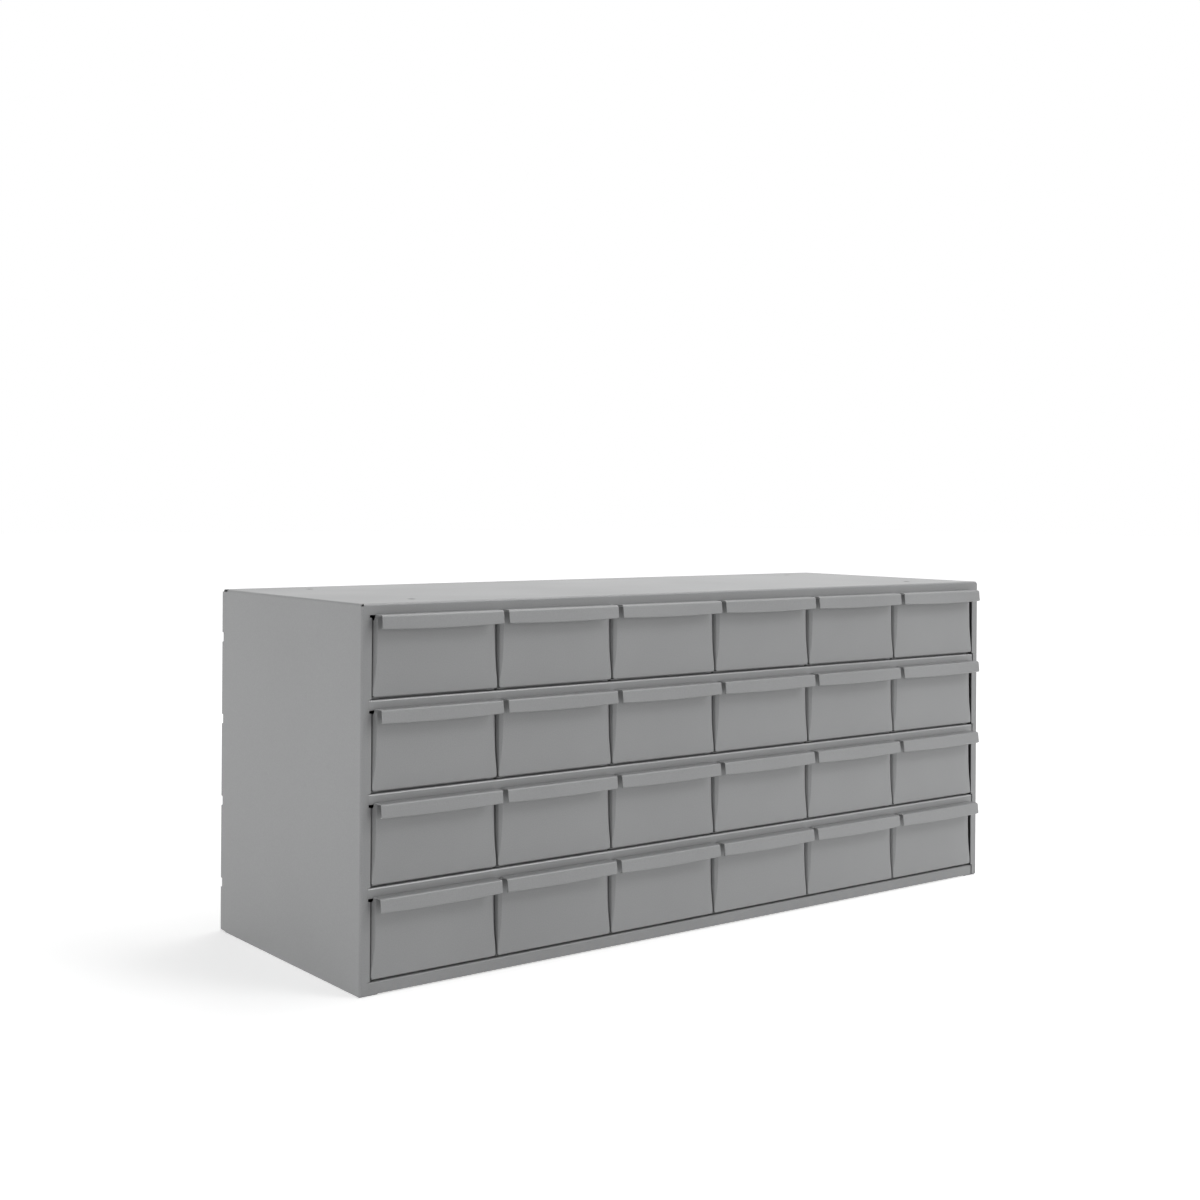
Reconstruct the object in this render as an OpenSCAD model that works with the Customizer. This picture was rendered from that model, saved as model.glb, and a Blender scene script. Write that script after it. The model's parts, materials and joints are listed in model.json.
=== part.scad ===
// Steel parts bin cabinet: a folded case with three shelves and a base pan,
// and 24 small drawers in four rows of six. Each drawer slides out on its shelf.
// Millimetres. Z is up, the drawers open towards -Y, and the origin is on the
// ground below the middle of the whole cabinet, pulls included.

/* [Drawers] */
// Outside width of a drawer across its front
drawer_w = 137.3; // [110:0.1:160]
// Length of a drawer from the outside of its front to the outside of its back
drawer_d = 290; // [220:1:360]
// Space between two drawers side by side
drawer_gap = 2; // [1.6:0.1:4]
// Sheet thickness of the drawers
drawer_sheet = 0.8; // [0.6:0.1:1]
// Outside radius of a drawer's upright front corners
corner_r = 4; // [3:0.5:6]
// How far the front wraps back around a drawer's sides
wrap_d = 14; // [10:1:25]
// Outside radius of the bend below a drawer's front
floor_bend_r = 3.5; // [2.5:0.5:5]
// Length of the open corner reliefs behind that bend
bend_relief = 2; // [1:0.5:4]
// Outside radius of the bend below a drawer's back
back_bend_r = 2; // [1.5:0.5:4]
// Height of the folded hem along the top of a side wall
hem_h = 6; // [4:0.5:10]
// Width of the foot of a side wall, which lies on the drawer's floor
wall_foot_w = 8; // [5:0.5:12]
// Gap between the top of a drawer's walls and the edge of the rail above
wall_clear = 5; // [3:0.5:10]
// How far a stop lug at the back of a side wall reaches behind the rail above
lug_catch = 6; // [4:0.5:7]
// Length of a stop lug
lug_l = 12; // [8:1:20]
// Distance from a drawer's back to its stop lugs
lug_inset = 20; // [10:1:40]

/* [Pull] */
// Distance from a drawer's side to each end of its pull
pull_inset = 2.1; // [1:0.05:10]
// How far the pull stands in front of the drawer
pull_reach = 14.7; // [10:0.1:20]
// How far the lip leans out from its top to its lower edge
pull_lean = 1.4; // [0:0.1:2.5]
// Height of the lip that hangs down at the front of the pull
lip_h = 13; // [10:0.1:18]
// Outside radius of the two bends of the pull
pull_bend_r = 3.5; // [2.5:0.1:4]
// How far the lip's lower edge curls back towards the drawer
lip_curl = 2.4; // [2:0.1:3]

/* [Rows] */
// Clear height of a row between two rails
opening_h = 76.5; // [60:0.5:100]
// How far the front of a drawer stands above the edge of the rail above it
front_overlap = 2; // [1.5:0.1:3.5]
// How far the pulls of the top row stand above the edge of the top flange
top_overlap = 0.6; // [0:0.1:1]
// Clear space between the drawers' backs and the back panel
rear_clear = 6.7; // [4:0.1:20]

/* [Case] */
// Sheet thickness of the case
case_sheet = 0.9; // [0.7:0.1:1.2]
// Outside radius of the bends of the case
case_bend_r = 2.4; // [2:0.1:4]
// Outside radius of the bends along the foot of the case
foot_bend_r = 1.5; // [1.4:0.1:2]
// Width of the front flange on each side
side_flange_w = 10.5; // [9:0.1:20]
// Gap between a side flange and the nearest drawer
flange_clear = 1.1; // [0.8:0.1:3]
// Height of the front flange below the top
top_flange_h = 10.5; // [6:0.1:20]
// Width of the flange round the back
rear_flange_w = 12; // [10:0.5:25]
// Width of the foot that each side turns in along the ground
foot_w = 20; // [12:1:30]
// Length of the open relief at the back end of each top bend
rear_relief = 13; // [8:0.5:20]
// Depth of the notches in the side flanges around the rails' ends
notch_d = 2.2; // [1:0.1:3]
// How far a notch reaches above its rail
notch_over = 0.8; // [0.5:0.1:3]
// How far a notch reaches below its rail or below the top flange
notch_under = 2.6; // [1:0.1:4]
// Gap between a rail's end and its notch
rail_end_gap = 0.5; // [0.3:0.1:1.5]
// Height of the slots in the rear bends
slot_h = 9.8; // [6:0.1:16]
// How far a slot reaches along the side from the back
slot_side = 4.6; // [3:0.1:12]
// How far a slot reaches in from the side across the rear flange
slot_rear = 2.4; // [2:0.1:5]
// Gap between the slots and the edge of the back panel
back_edge_clear = 1; // [0.5:0.1:3]

/* [Top holes] */
// Diameter of the holes in the top
top_hole_d = 8; // [4:0.5:12]
// Distance of the holes from each side
top_hole_side = 79; // [40:1:160]
// Distance of the holes from the front and the back
top_hole_end = 45; // [30:1:80]

/* [Shelves] */
// Height of the front rail of a shelf
rail_h = 9.5; // [7:0.1:20]
// How far the rails stand behind the front of the case
rail_recess = 1.0; // [1:0.1:2]
// Outside radius of the bends of the shelves and the base pan
shelf_bend_r = 1.8; // [1.4:0.1:3]
// Height of the flanges that join a shelf to the sides and the back
shelf_flange_h = 12; // [8:0.5:20]
// Height of the base pan's floor above the ground
base_h = 12.6; // [10:0.1:30]
// Gap below the base pan's front rail
base_lift = 1.2; // [1:0.1:4]

/* [Guides] */
// Thickness of a guide strip
guide_t = 1.2; // [0.8:0.1:1.6]
// Height of a guide strip above its shelf
guide_h = 12; // [6:0.5:20]
// Distance from the front of the case to the guide strips
guide_front = 22; // [16:1:60]
// Distance from the guide strips to the back panel
guide_rear = 14; // [8:1:60]
// Length of a tab that holds a guide strip in its shelf
tab_l = 12; // [8:1:20]
// How far a tab reaches through the shelf
tab_under = 1.2; // [0.6:0.1:1.6]
// Clearance round a tab in its slot
tab_clear = 0.15; // [0.1:0.05:0.3]

/* [Hidden] */
rows = 4;
columns = 6;
// Straight pieces in a quarter bend
bend_steps = 6;
// How far two parts of one sheet run into each other where they join
join = 1;
// Bend radius on the middle of a hem, and how far apart its two layers lie
hem_r = 0.7 * drawer_sheet;
hem_pitch = 1.6 * drawer_sheet;

drawer_pitch = drawer_w + drawer_gap;
row_pitch = opening_h + rail_h;
front_h = opening_h + front_overlap;
wall_h = opening_h - wall_clear;
lug_top = opening_h + lug_catch;
floor_w = drawer_w - 2 * drawer_sheet;
pull_w = drawer_w - 2 * pull_inset;

case_w = 2 * (side_flange_w + flange_clear) + columns * drawer_pitch - drawer_gap;
case_d = drawer_d + rear_clear + 2 * case_sheet;
top_opening_h = front_h - top_overlap;
case_h = base_h + (rows - 1) * row_pitch + top_opening_h + top_flange_h;
inner_w = case_w - 2 * case_sheet;
back_y = case_d - 2 * case_sheet;
rail_w = case_w - 2 * (side_flange_w - notch_d + rail_end_gap);
shelf_front = case_sheet + shelf_bend_r;
guide_l = back_y - guide_rear - guide_front;
centre_y = (case_d - pull_reach) / 2;

// Height of the floor that the drawers of row r stand on; row 1 is at the top.
function row_z(r) = base_h + (rows - r) * row_pitch;

// Middle of column c; column 1 is on the left, seen from the front.
function column_x(c) = (c - (columns + 1) / 2) * drawer_pitch;

function unit(v) = v / norm(v);
function turned(v, a) = [v.x * cos(a) - v.y * sin(a), v.x * sin(a) + v.y * cos(a)];
function xy(p) = [p.x, p.y];

// Points of the round bend of radius p[2] at corner p of a folded line.
function bend(before, p, after) =
    let(
        a = unit(xy(before) - xy(p)),
        b = unit(xy(after) - xy(p)),
        half = acos(a * b) / 2,
        centre = xy(p) + unit(a + b) * p[2] / sin(half),
        start = xy(p) + a * p[2] / tan(half),
        sweep = (180 - 2 * half) * (a.x * b.y - a.y * b.x > 0 ? -1 : 1)
    )
    [for (i = [0:bend_steps]) centre + turned(start - centre, sweep * i / bend_steps)];

// A folded line through points [x, y, bend radius].
function folded(points) = [
    xy(points[0]),
    for (i = [1:len(points) - 2]) each bend(points[i - 1], points[i], points[i + 1]),
    xy(points[len(points) - 1])
];

// The line moved sideways by d, to its left.
function beside(line, d) = [
    for (i = [0:len(line) - 1])
        let(
            last = len(line) - 1,
            u = i == 0 ? unit(line[1] - line[0]) : unit(line[i] - line[i - 1]),
            v = i == last ? u : unit(line[i + 1] - line[i]),
            n = unit([-u.y - v.y, u.x + v.x])
        )
        line[i] + n * d / (n * [-u.y, u.x])
];

function backwards(list) = [for (i = [len(list) - 1:-1:0]) list[i]];

// Cross-section of a sheet of thickness t whose middle follows the folded line.
module sheet_section(points, t) {
    line = folded(points);
    polygon(concat(beside(line, t / 2), backwards(beside(line, -t / 2))));
}

// Extrusions of a drawing of (Y, Z), (X, Z) and (X, Y) centred on X, or along Y or Z.
module along_x(w) {
    translate([-w / 2, 0, 0]) rotate([90, 0, 90]) linear_extrude(w) children();
}

module along_y(y0, y1) {
    translate([0, y1, 0]) rotate([90, 0, 0]) linear_extrude(y1 - y0) children();
}

module along_z(z0, z1) {
    translate([0, 0, z0]) linear_extrude(z1 - z0) children();
}

// One piece at each side, the second a mirror image of the first.
module both_sides() {
    children();
    mirror([1, 0, 0]) children();
}

// Moves what is drawn from the front of the case to the middle of the cabinet.
module in_place() {
    translate([0, -centre_y, 0]) children();
}

// ---- Case ----

// A side, open at the top and the foot: front flange, side and rear flange.
module side_channel() {
    m = case_sheet / 2;
    x = case_w / 2 - m;
    r = case_bend_r - m;
    along_z(foot_bend_r, case_h - case_bend_r)
        sheet_section([
            [case_w / 2 - side_flange_w, m],
            [x, m, r],
            [x, case_d - m, r],
            [case_w / 2 - rear_flange_w, case_d - m]
        ], case_sheet);
}

// The top with its front and rear flanges.
module top_channel() {
    m = case_sheet / 2;
    z = case_h - m;
    r = case_bend_r - m;
    along_x(case_w - 2 * case_bend_r)
        sheet_section([
            [m, case_h - top_flange_h],
            [m, z, r],
            [case_d - m, z, r],
            [case_d - m, case_h - rear_flange_w]
        ], case_sheet);
}

// The bends that join the sides to the top and to their feet.
module hoop() {
    m = case_sheet / 2;
    x = case_w / 2 - m;
    along_y(case_bend_r, case_d - rear_relief)
        sheet_section([
            [foot_w - case_w / 2, m],
            [-x, m, foot_bend_r - m],
            [-x, case_h - m, case_bend_r - m],
            [x, case_h - m, case_bend_r - m],
            [x, m, foot_bend_r - m],
            [case_w / 2 - foot_w, m]
        ], case_sheet);
}

// A notch in the left side flange between two heights.
module flange_notch(z0, z1) {
    x = side_flange_w - notch_d - case_w / 2;
    translate([x, -case_sheet, z0]) cube([2 * notch_d, 3 * case_sheet, z1 - z0]);
}

module case_shell() {
    color([0.6, 0.61, 0.62])
    difference() {
        union() {
            both_sides() side_channel();
            top_channel();
            hoop();
        }
        both_sides() {
            for (r = [1:rows - 1])
                flange_notch(row_z(r) - rail_h - notch_under, row_z(r) + notch_over);
            flange_notch(0, base_h + notch_over);
            flange_notch(case_h - top_flange_h - notch_under, case_h - top_flange_h);
            for (r = [1:rows])
                translate([-case_w / 2 - 1, case_d - slot_side, row_z(r) + (opening_h - slot_h) / 2])
                    cube([slot_rear + 1, slot_side + 1, slot_h]);
            for (y = [top_hole_end, case_d - top_hole_end])
                translate([top_hole_side - case_w / 2, y, case_h - 2 * case_sheet])
                    cylinder(h = 3 * case_sheet, d = top_hole_d, $fn = 48);
        }
    }
}

// Lies inside the rear flanges, which hold it all round.
module back_panel() {
    w = case_w - 2 * (slot_rear + back_edge_clear);
    color([0.56, 0.57, 0.58])
    translate([-w / 2, back_y, foot_bend_r])
        cube([w, case_sheet, case_h - case_bend_r - tab_clear - foot_bend_r]);
}

// ---- Shelves, base pan and guides ----

// Where the guide strips stand: between the columns and beside the outer ones.
function guide_x(i) = (i - columns / 2) * drawer_pitch;
function tab_y(i) = guide_front + [0.08, 0.5, 0.92][i] * (guide_l - tab_l);

// A tray that hangs below z = 0: its rail is front_drop high, its other flanges side_drop.
module tray(front_drop, side_drop) {
    m = case_sheet / 2;
    r = shelf_bend_r - m;
    difference() {
        union() {
            along_x(rail_w)
                sheet_section([
                    [rail_recess + m, -front_drop],
                    [rail_recess + m, -m, r],
                    [back_y - m, -m, r],
                    [back_y - m, -side_drop]
                ], case_sheet);
            along_y(shelf_front, back_y - shelf_bend_r)
                sheet_section([
                    [m - inner_w / 2, -side_drop],
                    [m - inner_w / 2, -m, r],
                    [inner_w / 2 - m, -m, r],
                    [inner_w / 2 - m, -side_drop]
                ], case_sheet);
        }
        for (i = [0:columns], j = [0:2])
            translate([guide_x(i) - guide_t / 2 - tab_clear, tab_y(j) - tab_clear, -2 * case_sheet])
                cube([guide_t + 2 * tab_clear, tab_l + 2 * tab_clear, 3 * case_sheet]);
    }
}

module shelf(r) {
    color([0.58, 0.59, 0.6])
    translate([0, 0, row_z(r)]) tray(rail_h, shelf_flange_h);
}

module base_pan() {
    color([0.58, 0.59, 0.6])
    translate([0, 0, base_h]) tray(base_h - base_lift, base_h - foot_bend_r);
}

// The strips that keep the drawers of row r apart, with three tabs through the shelf each.
module guides(r) {
    color([0.62, 0.63, 0.64])
    translate([0, 0, row_z(r)])
        for (i = [0:columns])
            translate([guide_x(i) - guide_t / 2, 0, 0]) {
                translate([0, guide_front, 0]) cube([guide_t, guide_l, guide_h]);
                for (j = [0:2])
                    translate([0, tab_y(j), -case_sheet - tab_under])
                        cube([guide_t, tab_l, case_sheet + tab_under + 1]);
            }
}

// ---- Drawers ----

// The pull: a lip with a curled edge, the top of the pull and its root on the front.
module pull() {
    m = drawer_sheet / 2;
    low = front_h - lip_h;
    along_x(pull_w)
        sheet_section([
            [lip_curl - pull_reach, low + m],
            [m - pull_reach, low + m, 2 * m],
            [m - pull_reach + pull_lean, front_h - m, pull_bend_r - m],
            [m, front_h - m, pull_bend_r - m],
            [m, wall_h - join]
        ], drawer_sheet);
}

// The front and its two wrapped corners, between the floor's bend and the walls' top.
module front_wrap() {
    m = drawer_sheet / 2;
    x = drawer_w / 2 - m;
    along_z(floor_bend_r, wall_h)
        sheet_section([
            [-x, wrap_d],
            [-x, m, corner_r - m],
            [x, m, corner_r - m],
            [x, wrap_d]
        ], drawer_sheet);
}

// The floor: a narrow bend below the front, which leaves the corners open, then
// the full width up to the top of the back.
module floor_and_back() {
    m = drawer_sheet / 2;
    relief = floor_bend_r + bend_relief;
    along_x(drawer_w - 2 * corner_r)
        sheet_section([
            [m, floor_bend_r + join],
            [m, m, floor_bend_r - m],
            [relief + join, m]
        ], drawer_sheet);
    along_x(floor_w)
        sheet_section([
            [relief, m],
            [drawer_d - m, m, back_bend_r - m],
            [drawer_d - m, wall_h]
        ], drawer_sheet);
}

module drawer_pan() {
    pull();
    front_wrap();
    floor_and_back();
}

// A side wall: a foot on the floor, the wall with its hemmed top, and the stop lug.
module side_wall() {
    m = drawer_sheet / 2;
    x = floor_w / 2 - m;
    foot_z = drawer_sheet + m;
    lug_y = drawer_d - drawer_sheet - lug_inset - lug_l;
    along_y(corner_r + drawer_sheet, drawer_d - back_bend_r)
        sheet_section([
            [x - wall_foot_w, foot_z],
            [x, foot_z, 2 * m],
            [x, wall_h - m, hem_r],
            [x - hem_pitch, wall_h - m, hem_r],
            [x - hem_pitch, wall_h - hem_h]
        ], drawer_sheet);
    translate([x - m, lug_y, wall_h - hem_h])
        cube([drawer_sheet, lug_l, lug_top - wall_h + hem_h]);
}

// Places a drawer's piece in its row and column.
module in_bay(r, c) {
    color([0.57, 0.58, 0.59])
    translate([column_x(c), 0, row_z(r)]) children();
}

in_place() case_shell();
in_place() back_panel();
in_place() base_pan();
for (r = [1:rows - 1])
    in_place() shelf(r);
for (r = [1:rows])
    in_place() guides(r);
for (r = [1:rows], c = [1:columns]) {
    in_place() in_bay(r, c) drawer_pan();
    in_place() in_bay(r, c) both_sides() side_wall();
}
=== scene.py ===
"""Looks of a steel parts bin cabinet: painted sheet steel, 24 small drawers in a folded case."""

import json
import logging
import math
from dataclasses import dataclass, field
from enum import Enum
from typing import Callable, Sequence

import bmesh
import bpy
from mathutils import Matrix, Vector, noise

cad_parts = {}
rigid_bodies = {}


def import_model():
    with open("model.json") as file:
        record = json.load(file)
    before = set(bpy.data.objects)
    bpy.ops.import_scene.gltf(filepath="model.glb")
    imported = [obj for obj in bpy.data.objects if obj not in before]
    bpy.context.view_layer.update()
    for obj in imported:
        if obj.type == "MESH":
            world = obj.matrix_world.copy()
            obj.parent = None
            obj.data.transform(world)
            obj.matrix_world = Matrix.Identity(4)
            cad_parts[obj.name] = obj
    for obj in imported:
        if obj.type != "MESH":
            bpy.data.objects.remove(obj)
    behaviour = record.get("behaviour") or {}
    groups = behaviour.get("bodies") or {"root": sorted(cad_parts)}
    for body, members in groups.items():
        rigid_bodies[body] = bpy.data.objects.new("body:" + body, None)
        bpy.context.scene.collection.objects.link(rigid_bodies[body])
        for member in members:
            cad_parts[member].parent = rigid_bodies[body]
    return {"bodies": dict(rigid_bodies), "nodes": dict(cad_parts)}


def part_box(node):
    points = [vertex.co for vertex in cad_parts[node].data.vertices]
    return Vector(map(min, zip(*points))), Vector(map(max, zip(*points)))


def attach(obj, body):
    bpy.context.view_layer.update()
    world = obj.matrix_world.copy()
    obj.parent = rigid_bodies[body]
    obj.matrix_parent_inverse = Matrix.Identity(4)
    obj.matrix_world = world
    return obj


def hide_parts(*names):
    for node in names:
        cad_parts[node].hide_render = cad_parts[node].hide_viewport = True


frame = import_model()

MM = 0.001
# Points of a sheet that lie closer than this are one point.
MERGE_MM = 0.002
# A point this near to a face, or a fold below this angle, counts as flat.
FLAT_MM = 0.01
FLAT_DEGREES = 1.0
# Straight pieces of a bend, and the points they run between.
BEND_STEPS = 6
BEND_POINTS = BEND_STEPS + 1
WHITE = (1.0, 1.0, 1.0, 1.0)
log = logging.getLogger("parts_cabinet")


class Slot(Enum):
    """The record's material slots."""

    CASE = "case_paint"
    DRAWER = "drawer_paint"


class Body(Enum):
    """The rigid body that does not move."""

    CABINET = "cabinet"


@dataclass(frozen=True)
class Corner:
    """One corner of a folded line, in millimetres.

    Attributes:
        u: First coordinate of the corner.
        v: Second coordinate of the corner.
        radius: Bend radius of the line at the corner, or 0 at its ends.
        steps: Straight pieces that the bend is made of.
    """

    u: float
    v: float
    radius: float = 0.0
    steps: int = BEND_STEPS


def folded(corners: Sequence[Corner]) -> list[tuple[float, float]]:
    """Rounds the corners of a folded line.

    Args:
        corners: The line's corners, with its two ends.

    Returns:
        The points along the line.
    """
    points = [(corners[0].u, corners[0].v)]
    for before, corner, after in zip(corners, corners[1:], corners[2:]):
        p = Vector((corner.u, corner.v))
        a = (Vector((before.u, before.v)) - p).normalized()
        b = (Vector((after.u, after.v)) - p).normalized()
        half = a.angle(b) / 2
        centre = p + (a + b).normalized() * corner.radius / math.sin(half)
        arm = p + a * corner.radius / math.tan(half) - centre
        turn = (math.pi - 2 * half) * (-1 if a.x * b.y - a.y * b.x > 0 else 1)
        for step in range(corner.steps + 1):
            points.append(tuple(centre + Matrix.Rotation(turn * step / corner.steps, 2) @ arm))
    points.append((corners[-1].u, corners[-1].v))
    return points


def between(low: float, high: float, count: int) -> list[float]:
    """Evenly spaced values.

    Args:
        low: First value.
        high: Last value.
        count: How many steps lie between them.

    Returns:
        The values, both ends included.
    """
    return [low + (high - low) * i / count for i in range(count + 1)]


def interpolated(table: Sequence[tuple[float, float]], x: float) -> float:
    """Reads a value from a table of (x, value) rows, held level past its ends.

    Args:
        table: The rows, in rising order of x.
        x: Where to read.

    Returns:
        The value there.
    """
    if x <= table[0][0]:
        return table[0][1]
    for (x0, v0), (x1, v1) in zip(table, table[1:]):
        if x <= x1:
            return v0 + (v1 - v0) * (x - x0) / (x1 - x0)
    return table[-1][1]


def applied(piece: bpy.types.Object) -> None:
    """Turns a piece's modifiers into its mesh.

    Args:
        piece: The piece.
    """
    graph = bpy.context.evaluated_depsgraph_get()
    mesh = bpy.data.meshes.new_from_object(piece.evaluated_get(graph))
    old = piece.data
    piece.modifiers.clear()
    piece.data = mesh
    bpy.data.meshes.remove(old)


def linked(name: str, mesh: bpy.types.Mesh) -> bpy.types.Object:
    """Makes an object of a mesh.

    Args:
        name: The piece's name.
        mesh: Its mesh, in the row's frame.

    Returns:
        The new object, in the scene.
    """
    piece = bpy.data.objects.new(name, mesh)
    bpy.context.scene.collection.objects.link(piece)
    return piece


@dataclass(frozen=True)
class EdgeFinish:
    """How the edges and bends of a sheet are finished.

    Attributes:
        rounding: Width of the rounding on each cut edge, in millimetres.
        segments: Steps of that rounding.
        cut_angle: Edges sharper than this are cut edges, in degrees.
        smooth_angle: Edges blunter than this shade as one bend, in degrees.
        flat_weight: How strongly a large flat face holds the shading of its rim.
    """

    rounding: float = 0.16
    segments: int = 2
    cut_angle: float = 50.0
    smooth_angle: float = 40.0
    flat_weight: int = 100

    def apply(self, piece: bpy.types.Object) -> None:
        """Rounds the cut edges and shades the bends smooth.

        Args:
            piece: A piece with a closed mesh.
        """
        bevel = piece.modifiers.new("cut_edges", "BEVEL")
        bevel.limit_method = "ANGLE"
        bevel.angle_limit = math.radians(self.cut_angle)
        bevel.width = self.rounding * MM
        bevel.segments = self.segments
        bevel.use_clamp_overlap = False
        applied(piece)
        self.shade(piece)

    def shade(self, piece: bpy.types.Object) -> None:
        """Shades the bends smooth and the flat faces flat.

        Args:
            piece: A piece with a closed mesh.
        """
        piece.data.shade_smooth()
        piece.data.set_sharp_from_angle(angle=math.radians(self.smooth_angle))
        normals = piece.modifiers.new("flat_faces", "WEIGHTED_NORMAL")
        normals.keep_sharp = True
        normals.weight = self.flat_weight
        applied(piece)


class SheetSurface:
    """The middle surface of a folded sheet, collected as welded faces in millimetres."""

    def __init__(self) -> None:
        """Starts an empty surface."""
        self.points: list[tuple[float, float, float]] = []
        self.faces: list[tuple[int, ...]] = []
        self.index: dict[tuple[int, int, int], int] = {}

    def point(self, x: float, y: float, z: float) -> int:
        """Adds a point, or finds the one that is there.

        Args:
            x: Sideways.
            y: Backwards.
            z: Upwards.

        Returns:
            The point's number.
        """
        key = (round(x / MERGE_MM), round(y / MERGE_MM), round(z / MERGE_MM))
        if key not in self.index:
            self.index[key] = len(self.points)
            self.points.append((x, y, z))
        return self.index[key]

    def grid(self, rows: Sequence[Sequence[tuple[float, float, float]]]) -> None:
        """Adds a net of faces.

        Args:
            rows: Rows of points, all of one length.
        """
        numbers = [[self.point(*p) for p in row] for row in rows]
        for lower, upper in zip(numbers, numbers[1:]):
            for i in range(len(lower) - 1):
                self.faces.append((lower[i], lower[i + 1], upper[i + 1], upper[i]))

    def solid(
        self,
        name: str,
        thickness: float,
        place: Vector,
        edges: EdgeFinish,
        shape: Callable[[Vector], Vector],
    ) -> bpy.types.Object:
        """Gives the surface its thickness.

        Args:
            name: The piece's name.
            thickness: The sheet's thickness, in millimetres.
            place: Where the surface's origin lies in the row's frame, in metres.
            edges: How the edges are finished.
            shape: A last change of each point's place, in millimetres.

        Returns:
            The finished piece.
        """
        mesh = bpy.data.meshes.new(name)
        mesh.from_pydata([place + shape(Vector(p)) * MM for p in self.points], [], self.faces)
        piece = linked(name, mesh)
        skin = piece.modifiers.new("sheet", "SOLIDIFY")
        skin.thickness = thickness * MM
        skin.offset = 0.0
        skin.use_even_offset = True
        skin.use_quality_normals = True
        applied(piece)
        edges.apply(piece)
        return piece


def kept_inside(piece: bpy.types.Object, node: str) -> None:
    """Moves a piece's stray points back to the box of its CAD node.

    Args:
        piece: The piece.
        node: The CAD node that it stands for.
    """
    low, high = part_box(node)
    for vertex in piece.data.vertices:
        vertex.co = [min(max(c, a), b) for c, a, b in zip(vertex.co, low, high)]


def refined(node: str, edges: EdgeFinish) -> bpy.types.Object:
    """Makes a finished sheet of a CAD node, with whole flat faces and rounded cut edges.

    Args:
        node: The CAD node that the new piece stands for.
        edges: How the edges are finished.

    Returns:
        The finished piece.
    """
    net = bmesh.new()
    net.from_mesh(frame["nodes"][node].data)
    bmesh.ops.remove_doubles(net, verts=net.verts[:], dist=MERGE_MM * MM)
    bmesh.ops.dissolve_limit(
        net, angle_limit=math.radians(FLAT_DEGREES), verts=net.verts[:], edges=net.edges[:]
    )
    mesh = bpy.data.meshes.new(f"{node}_sheet")
    net.to_mesh(mesh)
    net.free()
    piece = linked(f"{node}_sheet", mesh)
    edges.apply(piece)
    kept_inside(piece, node)
    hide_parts(node)
    return piece


def calculated(
    tree: bpy.types.NodeTree, operation: str, *values: bpy.types.NodeSocket | float
) -> bpy.types.NodeSocket:
    """Adds a calculation to a material's or a world's nodes.

    Args:
        tree: The nodes.
        operation: What is calculated.
        values: Sockets or fixed numbers to calculate with.

    Returns:
        The result's socket.
    """
    made = tree.nodes.new("ShaderNodeMath")
    made.operation = operation
    for socket, value in zip(made.inputs, values):
        if isinstance(value, bpy.types.NodeSocket):
            tree.links.new(value, socket)
        else:
            socket.default_value = value
    return made.outputs[0]


def mapped(
    tree: bpy.types.NodeTree, value: bpy.types.NodeSocket, *ends: bpy.types.NodeSocket | float
) -> bpy.types.NodeSocket:
    """Maps a value from one range onto another.

    Args:
        tree: The material's or the world's nodes.
        value: The value.
        ends: Low and high of the first range, then what the second one has for them.

    Returns:
        The mapped value's socket.
    """
    made = tree.nodes.new("ShaderNodeMapRange")
    tree.links.new(value, made.inputs["Value"])
    for name, end in zip(("From Min", "From Max", "To Min", "To Max"), ends):
        if isinstance(end, bpy.types.NodeSocket):
            tree.links.new(end, made.inputs[name])
        else:
            made.inputs[name].default_value = end
    return made.outputs["Result"]


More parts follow.
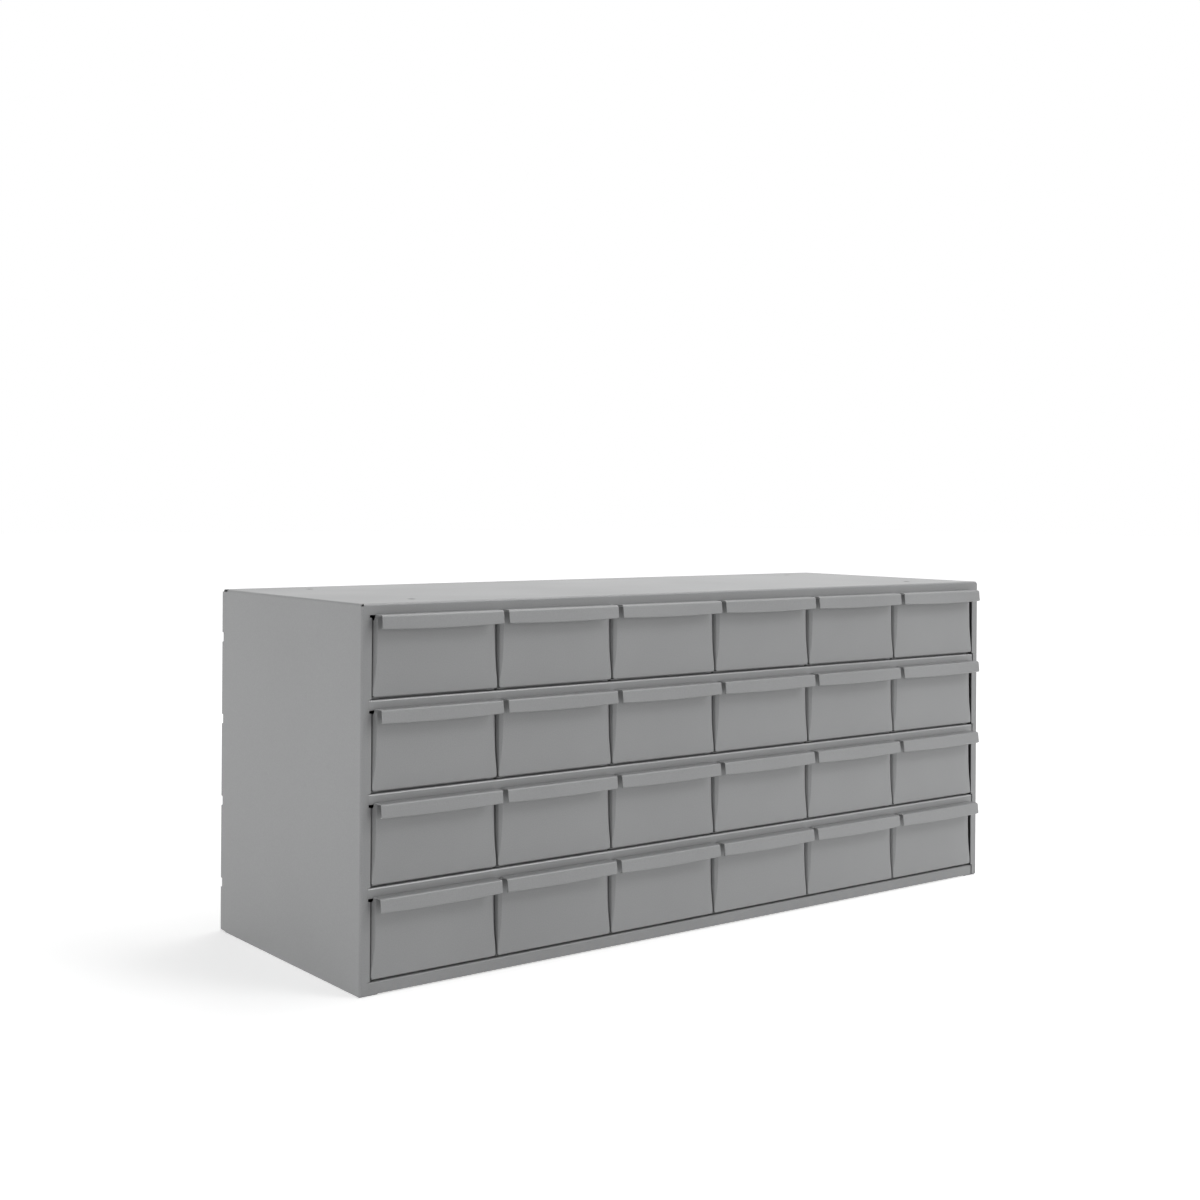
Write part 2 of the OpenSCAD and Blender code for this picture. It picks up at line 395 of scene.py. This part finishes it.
@dataclass(frozen=True)
class EnamelFinish:
    """Baked satin enamel on sheet steel.

    Attributes:
        name: The material's name.
        colour: Linear colour of the paint.
        roughness: Middle roughness.
        roughness_span: How far the roughness wanders over a panel.
        specular: Specular level.
        mottle: How far the colour wanders over a panel, as a share.
        speckle: How far the colour wanders from grain to grain, as a share.
        grain: Size of the paint's fine grain, in metres.
        grain_depth: Depth of that grain, in metres.
        warp: Size of the sheet's slow waves, in metres.
        warp_depth: Depth of those waves, in metres.
        cloud_scale: Scale of the paint's clouds over that of the waves.
        octaves: Octaves of the waves, the grain and the clouds.
        noise_span: The usual low and high of a noise.
        painted_highlight: A painted highlight: how much paler the paint is along bends that face
            partly up at a sheet's front, as a share.
        highlight_gloss: How much smoother the paint is along that painted highlight.
        highlight_slopes: Upward parts of the surface normal at which that painted highlight
            starts, is full, still is full, and ends.
    """

    name: str
    colour: tuple[float, float, float]
    roughness: float = 0.36
    roughness_span: float = 0.05
    specular: float = 0.5
    mottle: float = 0.05
    speckle: float = 0.05
    grain: float = 0.0011
    grain_depth: float = 0.00002
    warp: float = 0.11
    warp_depth: float = 0.00022
    cloud_scale: float = 0.6
    octaves: tuple[float, float, float] = (2.0, 3.0, 4.0)
    noise_span: tuple[float, float] = (0.3, 0.7)
    # Painted highlight: paler paint on bends that face partly up, standing in for lamp light
    # caught there.
    painted_highlight: float = 0.0
    highlight_gloss: float = 0.14
    highlight_slopes: tuple[float, float, float, float] = (0.1, 0.35, 0.85, 0.97)

    def material(self) -> bpy.types.Material:
        """Builds the paint's nodes.

        Returns:
            The material.
        """
        made = bpy.data.materials.new(self.name)
        made.use_nodes = True
        tree = made.node_tree
        paint = tree.nodes["Principled BSDF"]
        paint.inputs["Specular IOR Level"].default_value = self.specular
        paint.inputs["Metallic"].default_value = 0.0
        place = tree.nodes.new("ShaderNodeTexCoord")
        scales = (1 / self.warp, 1 / self.grain, self.cloud_scale / self.warp)
        slow, fine, cloud = (
            self._noise(tree, place, scale, detail) for scale, detail in zip(scales, self.octaves)
        )

        tone = self._wandering(tree, cloud, 1.0, self.mottle)
        grit = self._wandering(tree, fine, 1.0, self.speckle)
        pale = calculated(tree, "MULTIPLY", tone, grit)
        gloss = self._wandering(tree, cloud, self.roughness, self.roughness_span)
        # Paints a highlight: paler, glossier paint where the sheet's bends face partly up.
        if self.painted_highlight:
            highlight_mask = self._painted_highlight_mask(tree)
            pale = self._faded(tree, pale, highlight_mask, self.painted_highlight)
            gloss = self._faded(tree, gloss, highlight_mask, -self.highlight_gloss / self.roughness)
        tint = tree.nodes.new("ShaderNodeVectorMath")
        tint.operation = "SCALE"
        tint.inputs[0].default_value = self.colour
        tree.links.new(pale, tint.inputs["Scale"])
        tree.links.new(tint.outputs["Vector"], paint.inputs["Base Color"])
        tree.links.new(gloss, paint.inputs["Roughness"])

        wave = self._bump(tree, slow, self.warp_depth)
        peel = self._bump(tree, fine, self.grain_depth)
        tree.links.new(wave.outputs["Normal"], peel.inputs["Normal"])
        tree.links.new(peel.outputs["Normal"], paint.inputs["Normal"])
        return made

    @staticmethod
    def _bump(tree: bpy.types.NodeTree, source: bpy.types.Node, depth: float) -> bpy.types.Node:
        """Adds a bump made by a noise.

        Args:
            tree: The material's nodes.
            source: The noise node.
            depth: Depth of the bump, in metres.

        Returns:
            The bump node.
        """
        made = tree.nodes.new("ShaderNodeBump")
        made.inputs["Strength"].default_value = 1.0
        made.inputs["Distance"].default_value = depth
        tree.links.new(source.outputs["Fac"], made.inputs["Height"])
        return made

    def _painted_highlight_mask(self, tree: bpy.types.NodeTree) -> bpy.types.NodeSocket:
        """Finds the bends that face partly up, where the highlight is painted.

        Args:
            tree: The material's nodes.

        Returns:
            A socket that is 1 on such a bend and 0 elsewhere.
        """
        facing = tree.nodes.new("ShaderNodeNewGeometry")
        parts = tree.nodes.new("ShaderNodeSeparateXYZ")
        tree.links.new(facing.outputs["Normal"], parts.inputs["Vector"])
        start, full, still, end = self.highlight_slopes
        rising = mapped(tree, parts.outputs["Z"], start, full, 0.0, 1.0)
        falling = mapped(tree, parts.outputs["Z"], end, still, 0.0, 1.0)
        return calculated(tree, "MULTIPLY", rising, falling)

    @staticmethod
    def _faded(
        tree: bpy.types.NodeTree,
        value: bpy.types.NodeSocket,
        mask: bpy.types.NodeSocket,
        change: float,
    ) -> bpy.types.NodeSocket:
        """Changes a value by a share where a mask is 1.

        Args:
            tree: The material's nodes.
            value: The value.
            mask: Where it changes.
            change: The share that is added there.

        Returns:
            The changed value.
        """
        gain = calculated(tree, "MULTIPLY_ADD", mask, change, 1.0)
        return calculated(tree, "MULTIPLY", value, gain)

    @staticmethod
    def _noise(
        tree: bpy.types.NodeTree, place: bpy.types.Node, scale: float, detail: float
    ) -> bpy.types.Node:
        """Adds a noise over the object's own coordinates.

        Args:
            tree: The material's nodes.
            place: The coordinates' node.
            scale: Waves per metre.
            detail: Octaves.

        Returns:
            The noise node.
        """
        made = tree.nodes.new("ShaderNodeTexNoise")
        made.inputs["Scale"].default_value = scale
        made.inputs["Detail"].default_value = detail
        tree.links.new(place.outputs["Object"], made.inputs["Vector"])
        return made

    def _wandering(
        self, tree: bpy.types.NodeTree, source: bpy.types.Node, middle: float, reach: float
    ) -> bpy.types.NodeSocket:
        """Lets a value wander with a noise.

        Args:
            tree: The material's nodes.
            source: The noise node.
            middle: The value's middle.
            reach: How far the value goes below and above it.

        Returns:
            The value's socket.
        """
        ends = (*self.noise_span, middle - reach, middle + reach)
        return mapped(tree, source.outputs["Fac"], *ends)


CASE_ENAMEL = EnamelFinish("case_enamel", (0.285, 0.288, 0.291))
# Shelves: the case's grey painted paler as painted light on the rails, with a painted highlight
# along their top bends.
LIT_SHELF_ENAMEL = EnamelFinish("lit_shelf_enamel", (0.32, 0.323, 0.326), painted_highlight=0.55)
DRAWER_ENAMEL = EnamelFinish("drawer_enamel", (0.30, 0.303, 0.306))


def dressed(piece: bpy.types.Object, paint: bpy.types.Material, body: str) -> None:
    """Paints a piece and lets it ride on its body.

    Args:
        piece: The piece.
        paint: Its material.
        body: The CAD body that it moves with.
    """
    piece.data.materials.clear()
    piece.data.materials.append(paint)
    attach(piece, body)
    log.info("%s: %d faces, rides on %s", piece.name, len(piece.data.polygons), body)


@dataclass
class Case:
    """The folded case with its back, base pan, shelves and guide strips.

    Attributes:
        plain: CAD nodes that are refined and take the shell's paint.
        railed: CAD nodes that are refined and take the shelves' paint, the shell's grey painted
        paler as painted light.
        dent_radius: Radius of the shallow mark that each spot weld of a shelf leaves on a
            side, in millimetres.
        dent_depth: Depth of such a mark.
        dent_below: How far the marks lie below a shelf's top.
        dent_front: How far the front marks lie behind the case's front.
        dent_rear: How far the rear marks lie before the case's back.
        dent_reach: Radius of a mark's cutter over that of the mark.
        dent_net: Rings and sectors of that cutter.
        edges: How the case's edges are finished.
    """

    plain: tuple[str, ...] = (
        "back_panel", "base_pan", "guides_row_1", "guides_row_2", "guides_row_3", "guides_row_4",
    )
    railed: tuple[str, ...] = ("shelf_1", "shelf_2", "shelf_3")
    dent_radius: float = 3.4
    dent_depth: float = 0.12
    dent_below: float = 4.8
    dent_front: float = 106.0
    dent_rear: float = 109.0
    dent_reach: float = 1.5
    dent_net: tuple[int, int] = (5, 24)
    edges: EdgeFinish = field(default_factory=EdgeFinish)

    def build(self, paint: bpy.types.Material, lit_shelf_paint: bpy.types.Material) -> None:
        """Builds and dresses all the sheets of the case.

        Args:
            paint: The paint of the shell, the back, the base pan and the guides.
            lit_shelf_paint: The paint of the shelves: the shell's grey painted paler as painted
            light, with a painted highlight on the rails' top bends.
        """
        shell = refined("case_shell", self.edges)
        self._dent(shell)
        dressed(shell, paint, Body.CABINET.value)
        for node in self.plain:
            dressed(refined(node, self.edges), paint, Body.CABINET.value)
        for node in self.railed:
            dressed(refined(node, self.edges), lit_shelf_paint, Body.CABINET.value)

    def _dent(self, shell: bpy.types.Object) -> None:
        """Presses the spot welds' marks into the two sides.

        Args:
            shell: The case's shell.
        """
        low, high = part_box("case_shell")
        lens = bmesh.new()
        for node in self.railed:
            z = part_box(node)[1].z - self.dent_below * MM
            for y in (low.y + self.dent_front * MM, high.y - self.dent_rear * MM):
                self._lens(lens, Vector((low.x, y, z)), -1.0)
                self._lens(lens, Vector((high.x, y, z)), 1.0)
        mesh = bpy.data.meshes.new("weld_marks")
        lens.to_mesh(mesh)
        lens.free()
        cutter = linked("weld_marks", mesh)
        cut = shell.modifiers.new("weld_marks", "BOOLEAN")
        cut.operation = "DIFFERENCE"
        cut.solver = "EXACT"
        cut.object = cutter
        applied(shell)
        self.edges.shade(shell)
        bpy.data.objects.remove(cutter)

    def _lens(self, net: bmesh.types.BMesh, centre: Vector, side: float) -> None:
        """Adds one lens-shaped cutter.

        Args:
            net: The cutters' mesh.
            centre: The mark's middle on the side's outer face.
            side: Which way the side faces, -1 or 1 along X.
        """
        rings, sectors = self.dent_net
        curve = (self.dent_radius**2 + self.dent_depth**2) / (2 * self.dent_depth)
        tip = net.verts.new(centre - Vector((side * self.dent_depth * MM, 0, 0)))
        before: list[bmesh.types.BMVert] = []
        for ring in range(1, rings + 1):
            r = self.dent_radius * self.dent_reach * ring / rings
            out = -self.dent_depth + r * r / (2 * curve)
            now = [
                net.verts.new(centre + Vector((side * out, r * math.cos(a), r * math.sin(a))) * MM)
                for a in (2 * math.pi * k / sectors for k in range(sectors))
            ]
            for k in range(sectors):
                following = (k + 1) % sectors
                inner = (before[k], before[following]) if before else (tip,)
                corners = (*inner, now[following], now[k])
                net.faces.new(corners if side > 0 else corners[::-1])
            before = now
        net.faces.new(before[::-1] if side < 0 else before)


@dataclass
class Drawer:
    """One drawer: a pan with its pull, and a pair of side walls. Sizes in millimetres.

    Attributes:
        width: Outside width across the front.
        depth: Length from front to back.
        sheet: Sheet thickness.
        wall_h: Height of the walls.
        front_h: Height of the pull's top.
        pull_half: Half of the pull's width.
        pull_reach: How far the pull stands out.
        pull_lean: How far the lip leans out towards its lower edge.
        pull_bend: Outside radius of the bend above the front.
        pull_nose: Outside radius of the bend above the lip.
        lip_h: Height of the lip.
        lip_curl: How far the lip's lower edge curls back.
        curl_bend: Radius of that curl.
        lip_bow: How far the middle of the lip's lower edge sags.
        lip_straight: Height below the pull's top that doesn't sag.
        toe_h: Height of the step below the front, which leaves a groove over the rail.
        toe_d: How far that step reaches back.
        toe_bend: Outside radius of the bend below the front.
        step_bend: Radius of the two bends of the step behind it.
        back_bend: Outside radius of the bend below the back.
        wrap: How far the front wraps back round the sides.
        ear_z: Height at which the wrapped corners begin.
        flat_half: Half width over which every row of the front is flat.
        front_top: Height at which the front ends and the pull begins.
        front_rows: Heights of the rows of the front's net between its lower edge and its top.
        flat_columns: Faces of that net across the flat width.
        back_rows: Faces of the back's net up its flat height.
        floor_rows: Faces of the floor's net along its flat length.
        wrap_columns: Faces of the wrap's net behind the corner's last bend.
        corner_turns: How far each of the two slanted strips down an upright corner turns back
            from the front, in degrees.
        corner_share: The outer strip's share of their width.
        corner_bend: Smallest bend radius of the sheet's middle line there.
        corner_rounding: Radius of the first and the last bend there, as a share of the width.
        corner_steps: Straight pieces of the three bends there.
        corner_reach: Width of the two strips at rising heights.
        buckle: How far the front's sheet wanders from flat.
        buckle_size: Size of that wander.
        buckle_fade: Heights over which it fades in above the lower edge and out below the top.
        buckle_shift: How fast the wander changes from drawer to drawer, per metre.
        edges: How the edges are finished.
    """

    width: float = 137.3
    depth: float = 290.0
    sheet: float = 0.8
    wall_h: float = 71.5
    front_h: float = 78.5
    pull_half: float = 66.55
    pull_reach: float = 14.7
    pull_lean: float = 1.4
    pull_bend: float = 3.5
    pull_nose: float = 2.4
    lip_h: float = 13.0
    lip_curl: float = 2.4
    curl_bend: float = 1.1
    lip_bow: float = 1.1
    lip_straight: float = 1.0
    toe_h: float = 2.4
    toe_d: float = 4.5
    toe_bend: float = 1.2
    step_bend: float = 1.2
    back_bend: float = 2.0
    wrap: float = 14.0
    ear_z: float = 3.8
    flat_half: float = 60.0
    front_top: float = 73.0
    front_rows: tuple[float, ...] = (8, 11, 14, 18, 22, 26, 30, 34, 38, 42, 46, 52, 58, 65)
    flat_columns: int = 10
    back_rows: int = 4
    floor_rows: int = 8
    wrap_columns: int = 2
    corner_turns: tuple[float, float] = (34.0, 60.0)
    corner_share: float = 0.31
    corner_bend: float = 0.5
    corner_rounding: tuple[float, float] = (0.3, 0.25)
    corner_steps: tuple[int, int, int] = (2, 1, 2)
    corner_reach: tuple[tuple[float, float], ...] = (
        (8.0, 0.95), (13.0, 1.6), (20.0, 2.8), (27.0, 3.8), (35.0, 4.5), (50.0, 5.1), (73.0, 5.3),
    )
    buckle: float = 0.12
    buckle_size: float = 34.0
    buckle_fade: tuple[float, float] = (12.0, 6.0)
    buckle_shift: float = 40.0
    edges: EdgeFinish = field(default_factory=EdgeFinish)

    def build(self, body: str, paint: bpy.types.Material) -> None:
        """Builds and dresses one drawer.

        Args:
            body: The drawer's CAD body.
            paint: The drawers' paint.
        """
        pan_node, sides_node = f"{body}_pan", f"{body}_sides"
        low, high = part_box(pan_node)
        place = Vector(((low.x + high.x) / 2, high.y - self.depth * MM, low.z))
        pan = self._pan(f"{pan_node}_sheet", place)
        kept_inside(pan, pan_node)
        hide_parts(pan_node)
        dressed(pan, paint, body)
        dressed(refined(sides_node, self.edges), paint, body)

    def _pan(self, name: str, place: Vector) -> bpy.types.Object:
        """Folds the pan from one sheet.

        Args:
            name: The piece's name.
            place: Where the drawer's origin lies in the row's frame, in metres.

        Returns:
            The pan.
        """
        sheet = SheetSurface()
        middle = between(-self.flat_half, self.flat_half, self.flat_columns)
        sheet.grid(self._floor_and_back(middle))
        heights = (self.ear_z, *self.front_rows, self.front_top)
        sheet.grid([self._front_row(z, middle) for z in heights])
        sheet.grid(self._pull(middle))
        wander = place * self.buckle_shift
        return sheet.solid(
            name, self.sheet, place, self.edges, lambda point: self._settled(point, wander)
        )

    def _floor_and_back(self, middle: Sequence[float]) -> list[list[tuple[float, float, float]]]:
        """The net of the back, the floor and the step below the front.

        Args:
            middle: Sideways places across the flat middle.

        Returns:
            The net's rows, from the back's top to the front's lower edge.
        """
        m = self.sheet / 2
        line = folded((
            Corner(self.depth - m, self.wall_h),
            Corner(self.depth - m, m, self.back_bend - m),
            Corner(self.toe_d + self.toe_h, m, self.step_bend),
            Corner(self.toe_d, self.toe_h + m, self.step_bend),
            Corner(m, self.toe_h + m, self.toe_bend - m),
            Corner(m, self.ear_z),
        ))
        floor = 1 + BEND_POINTS
        heights = between(self.wall_h, self.back_bend, self.back_rows)[:-1]
        lengths = between(line[floor - 1][0], line[floor][0], self.floor_rows)[1:-1]
        profile = [(self.depth - m, z) for z in heights] + line[1:floor]
        profile += [(y, m) for y in lengths] + line[floor:]
        edge = self._corner(self.ear_z)[0][0]
        return [[(x, y, z) for x in (-edge, *middle, edge)] for y, z in profile]

    def _pull(self, middle: Sequence[float]) -> list[list[tuple[float, float, float]]]:
        """The net of the pull.

        Args:
            middle: Sideways places across the flat middle.

        Returns:
            The net's rows, from the front's top to the lip's curled edge.
        """
        m = self.sheet / 2
        low = self.front_h - self.lip_h
        line = folded((
            Corner(m, self.front_top),
            Corner(m, self.front_h - m, self.pull_bend - m),
            Corner(m - self.pull_reach + self.pull_lean, self.front_h - m, self.pull_nose - m),
            Corner(m - self.pull_reach, low + m, self.curl_bend),
            Corner(self.lip_curl - self.pull_reach, low + m),
        ))
        right = self._corner(self.front_top)[:self._pull_end() + 1]
        foot = [(-x, y) for x, y in reversed(right)] + [(x, m) for x in middle] + right
        rows = [[(x, y, self.front_top) for x, y in foot]]
        return rows + [[(x, y, z) for x, _ in foot] for y, z in line[1:]]

    def _settled(self, point: Vector, wander: Vector) -> Vector:
        """Sags the lip's lower edge and lets the front's sheet wander.

        Args:
            point: A point of the pan's middle surface.
            wander: Where this drawer lies in the wander.

        Returns:
            The same point, moved.
        """
        lip_top = self.front_h - self.lip_straight
        if point.y < -self.pull_reach / 2 and point.z < lip_top:
            share = 1 - (point.x / self.pull_half) ** 2
            height = self.lip_h - 2 * self.lip_straight
            point.z -= self.lip_bow * share * min(1.0, (lip_top - point.z) / height)
        elif abs(point.y - self.sheet / 2) < FLAT_MM and self.ear_z <= point.z <= self.front_top:
            above, below = self.buckle_fade
            fade = min(1.0, (point.z - self.ear_z) / above, (self.front_top - point.z) / below)
            point.y += self.buckle * fade * noise.noise(point / self.buckle_size + wander)
        return point

    def _pull_end(self) -> int:
        """The number of the corner's point at which the pull ends."""
        return self.corner_steps[0] + 1

    def _corner(self, z: float) -> list[tuple[float, float]]:
        """The right upright corner's middle line at one height.

        Args:
            z: Height above the drawer's underside.

        Returns:
            The points from the flat front to the side, with one that lies where the pull
            ends at the top row.
        """
        line, top = self._corner_line(z), self._corner_line(self.front_top)
        k = self._pull_end()
        share = (self.pull_half - top[k - 1][0]) / (top[k][0] - top[k - 1][0])
        near, far = line[k - 1], line[k]
        end = (near[0] + (far[0] - near[0]) * share, near[1] + (far[1] - near[1]) * share)
        return line[:k] + [end] + line[k:]

    def _corner_line(self, z: float) -> list[tuple[float, float]]:
        """The three bends of the right upright corner's middle line.

        Args:
            z: Height above the drawer's underside.

        Returns:
            The points of the three bends.
        """
        m = self.sheet / 2
        side = self.width / 2 - m
        reach = interpolated(self.corner_reach, z) - m
        inner, outer = reach * (1 - self.corner_share), reach * self.corner_share
        first, second = (math.tan(math.radians(turn)) for turn in self.corner_turns)
        bends = [max(self.corner_bend, share * reach) for share in self.corner_rounding]
        near, between_strips, far = self.corner_steps
        depth = m + inner * first
        return folded((
            Corner(0.0, m),
            Corner(side - reach, m, bends[0], near),
            Corner(side - outer, depth, self.corner_bend, between_strips),
            Corner(side, depth + outer * second, bends[1], far),
            Corner(side, self.wrap),
        ))[1:-1]

    def _front_row(self, z: float, middle: Sequence[float]) -> list[tuple[float, float, float]]:
        """One level row of the front with its two wrapped corners.

        Args:
            z: Height above the drawer's underside.
            middle: Sideways places across the flat middle.

        Returns:
            The row's points from left to right.
        """
        m = self.sheet / 2
        corner = self._corner(z)
        wrap = between(corner[-1][1], self.wrap, self.wrap_columns)
        corner += [(self.width / 2 - m, y) for y in wrap[1:]]
        right = [(x, y, z) for x, y in corner]
        left = [(-x, y, z) for x, y in reversed(corner)]
        return left + [(x, m, z) for x in middle] + right


@dataclass(frozen=True)
class Lamp:
    """One soft square lamp.

    Attributes:
        name: The lamp's name.
        place: Where it hangs, in metres.
        size: Its side, in metres.
        power: Its power, in watts.
        glints: Whether it shows in the paint's gloss.
    """

    name: str
    place: tuple[float, float, float]
    size: float
    power: float
    glints: bool = True

    def hang(self, target: tuple[float, float, float]) -> None:
        """Adds the lamp to the scene.

        Args:
            target: The point that it shines at.
        """
        data = bpy.data.lights.new(self.name, "AREA")
        data.size = self.size
        data.energy = self.power
        lamp = bpy.data.objects.new(self.name, data)
        bpy.context.scene.collection.objects.link(lamp)
        lamp.visible_glossy = self.glints
        lamp.location = self.place
        aim = Vector(target) - Vector(self.place)
        lamp.rotation_euler = aim.to_track_quat("-Z", "Y").to_euler()


@dataclass(frozen=True)
class Studio:
    """Camera, floor, world and lamps.

    Attributes:
        place: The camera's place, in metres.
        yaw: How far the camera turns to the right of +Y, in degrees.
        roll: How far it leans, in degrees.
        sensor: Width of the sensor, in millimetres.
        lens: Focal length, in millimetres.
        shift_y: Upward shift.
        view_end: How far the camera sees, in metres.
        floor_size: Side of the square floor, in metres.
        floor_colour: Linear colour of the floor.
        floor_roughness: Roughness of the floor.
        floor_specular: Specular level of the floor.
        sky: Strength of the world's light on the object.
        sky_seen: Strength of the world where it is seen.
        floor_glow: Two distances from the middle of the floor, in metres, and how bright the
            floor's own glow looks there.
        floor_pool: The same for the light that the floor's glow throws on the object.
        middle: The point that the lamps shine at, in metres.
        lamps: The lamps.
    """

    place: tuple[float, float, float] = (-1.168, -1.4591, 0.452)
    yaw: float = 37.52
    roll: float = 0.364
    sensor: float = 36.0
    lens: float = 49.35
    shift_y: float = -0.0807
    view_end: float = 100.0
    floor_size: float = 40.0
    floor_colour: tuple[float, float, float, float] = (0.8, 0.8, 0.8, 1.0)
    floor_roughness: float = 0.9
    floor_specular: float = 0.1
    sky: float = 0.16
    sky_seen: float = 1.0
    floor_glow: tuple[float, float, float, float] = (0.8, 3.0, 0.58, 0.95)
    floor_pool: tuple[float, float, float, float] = (0.6, 1.3, 0.12, 0.0)
    middle: tuple[float, float, float] = (0.0, 0.0, 0.18)
    lamps: tuple[Lamp, ...] = (
        Lamp("overhead", (1.0, 0.3, 2.8), 1.6, 25.0),
        Lamp("overhead_front", (1.4, -0.9, 2.6), 1.6, 14.0),
        Lamp("left", (-2.4, -0.15, 0.36), 0.8, 19.0, glints=False),
        Lamp("front", (2.6, -5.8, 1.25), 2.4, 84.0, glints=False),
        Lamp("front_right", (1.103, -1.911, 1.904), 1.0, 18.0),
        Lamp("rear_right", (1.103, 1.911, 1.904), 1.6, 9.0, glints=False),
    )

    def build(self) -> None:
        """Builds all of the studio."""
        self._camera()
        self._world()
        self._floor()
        for lamp in self.lamps:
            lamp.hang(self.middle)

    def _camera(self) -> None:
        """Sets the camera."""
        data = bpy.data.cameras.new("camera")
        data.sensor_width = self.sensor
        data.lens = self.lens
        data.shift_y = self.shift_y
        data.clip_end = self.view_end
        camera = bpy.data.objects.new("camera", data)
        bpy.context.scene.collection.objects.link(camera)
        yaw, roll = math.radians(self.yaw), math.radians(self.roll)
        ahead = Vector((math.sin(yaw), math.cos(yaw), 0))
        level = Vector((math.cos(yaw), -math.sin(yaw), 0))
        up = Vector((0, 0, 1))
        right = level * math.cos(roll) + up * math.sin(roll)
        above = up * math.cos(roll) - level * math.sin(roll)
        turn = Matrix((right, above, -ahead)).transposed()
        camera.matrix_world = Matrix.Translation(self.place) @ turn.to_4x4()
        bpy.context.scene.camera = camera

    def _world(self) -> None:
        """A white world that lights the object at its own strength."""
        world = bpy.data.worlds.new("studio")
        world.use_nodes = True
        tree = world.node_tree
        background = tree.nodes["Background"]
        background.inputs["Color"].default_value = WHITE
        strength = self._seen(tree, self.sky, self.sky_seen)
        tree.links.new(strength, background.inputs["Strength"])
        bpy.context.scene.world = world

    @staticmethod
    def _seen(
        tree: bpy.types.NodeTree,
        lighting: bpy.types.NodeSocket | float,
        shown: bpy.types.NodeSocket | float,
    ) -> bpy.types.NodeSocket:
        """A strength that differs between what is seen and what lights.

        Args:
            tree: Nodes to add to.
            lighting: Strength for diffuse light.
            shown: Strength for camera, glossy and transmission rays.

        Returns:
            The strength's socket.
        """
        rays = tree.nodes.new("ShaderNodeLightPath").outputs
        seen = calculated(tree, "MAXIMUM", rays["Is Camera Ray"], rays["Is Glossy Ray"])
        clear = calculated(tree, "MAXIMUM", seen, rays["Is Transmission Ray"])
        return mapped(tree, clear, 0.0, 1.0, lighting, shown)

    def _floor(self) -> None:
        """A white floor that keeps a faint shadow."""
        half = self.floor_size / 2
        mesh = bpy.data.meshes.new("floor")
        rim = [(-half, -half, 0), (half, -half, 0), (half, half, 0), (-half, half, 0)]
        mesh.from_pydata(rim, [], [(0, 1, 2, 3)])
        floor = linked("floor", mesh)
        paper = bpy.data.materials.new("floor_paper")
        paper.use_nodes = True
        tree = paper.node_tree
        surface = tree.nodes["Principled BSDF"]
        surface.inputs["Base Color"].default_value = self.floor_colour
        surface.inputs["Roughness"].default_value = self.floor_roughness
        surface.inputs["Specular IOR Level"].default_value = self.floor_specular
        surface.inputs["Emission Color"].default_value = WHITE
        place = tree.nodes.new("ShaderNodeTexCoord")
        reach = tree.nodes.new("ShaderNodeVectorMath")
        reach.operation = "LENGTH"
        tree.links.new(place.outputs["Object"], reach.inputs[0])
        pool = mapped(tree, reach.outputs["Value"], *self.floor_pool)
        glow = mapped(tree, reach.outputs["Value"], *self.floor_glow)
        tree.links.new(self._seen(tree, pool, glow), surface.inputs["Emission Strength"])
        floor.data.materials.append(paper)


def main() -> None:
    """Builds the cabinet's looks and the studio."""
    logging.basicConfig(level=logging.INFO, format="%(name)s: %(message)s")
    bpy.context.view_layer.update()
    bpy.context.scene.view_settings.view_transform = "Standard"
    Studio().build()
    case_paint, lit_shelf_paint = CASE_ENAMEL.material(), LIT_SHELF_ENAMEL.material()
    drawer_paint = DRAWER_ENAMEL.material()
    Case().build(case_paint, lit_shelf_paint)
    drawer = Drawer()
    for body in sorted(frame["bodies"]):
        if body != Body.CABINET.value:
            drawer.build(body, drawer_paint)


if __name__ == "__main__":
    main()
